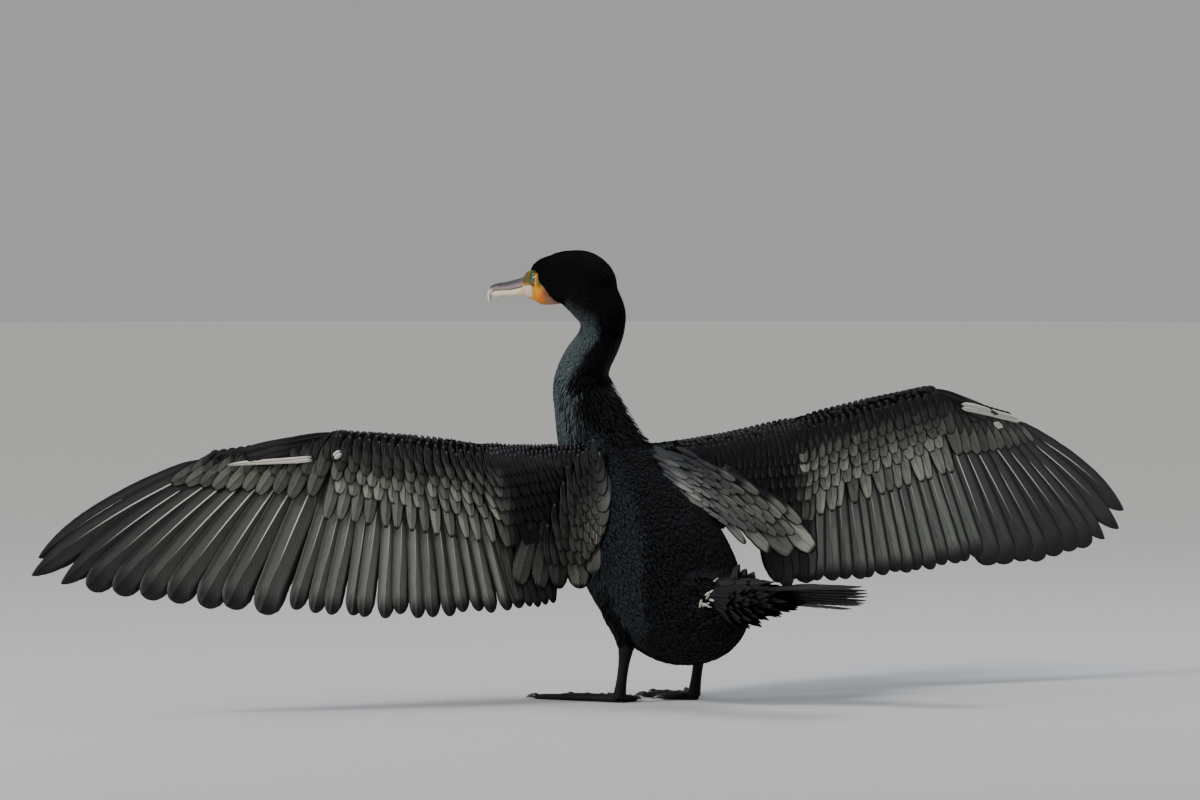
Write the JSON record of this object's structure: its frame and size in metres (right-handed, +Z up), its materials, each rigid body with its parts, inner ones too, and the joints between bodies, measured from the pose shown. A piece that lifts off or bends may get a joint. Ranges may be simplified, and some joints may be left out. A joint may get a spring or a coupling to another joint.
{
  "type": "great cormorant standing with spread wings, still model",
  "caption": "Still, life-size cormorant that stands on flat webbed feet with both wings held out to dry and its head turned to the left.",
  "frame": {"origin": "middle of the bird's box at floor level, between and a little behind the feet", "axes": "+Z up, -Y the way the body faces, +X the bird's left, along the spread wings"},
  "size_m": [1.2904, 0.5426, 0.436],
  "materials": {
    "black_plumage": "glossy black feathers with a faint blue sheen",
    "bronze_plumage": "bronze-grey wing feathers with black edges",
    "bare_skin": "matt yellow bare skin",
    "horn": "satin grey-pink horn",
    "eye": "wet, glossy green",
    "black_skin": "black scaly skin, slightly moist",
    "claw": "satin dark horn"
  },
  "bodies": {
    "root": {"head": "black_plumage", "face_skin": "bare_skin", "bill_upper": "horn", "bill_lower": "horn", "eye_left": "eye", "eye_right": "eye", "neck_upper": "black_plumage", "neck_lower": "black_plumage", "torso": "black_plumage", "tail": "black_plumage", "leg_left": "black_plumage", "leg_right": "black_plumage", "wing_arm_left": "bronze_plumage", "wing_forearm_left": "bronze_plumage", "wing_hand_left": "bronze_plumage", "foot_left": "black_skin", "claw_hind_left": "claw", "claw_inner_left": "claw", "claw_middle_left": "claw", "claw_outer_left": "claw", "wing_arm_right": "bronze_plumage", "wing_forearm_right": "bronze_plumage", "wing_hand_right": "bronze_plumage", "foot_right": "black_skin", "claw_hind_right": "claw", "claw_inner_right": "claw", "claw_middle_right": "claw", "claw_outer_right": "claw"}
  },
  "joints": []
}
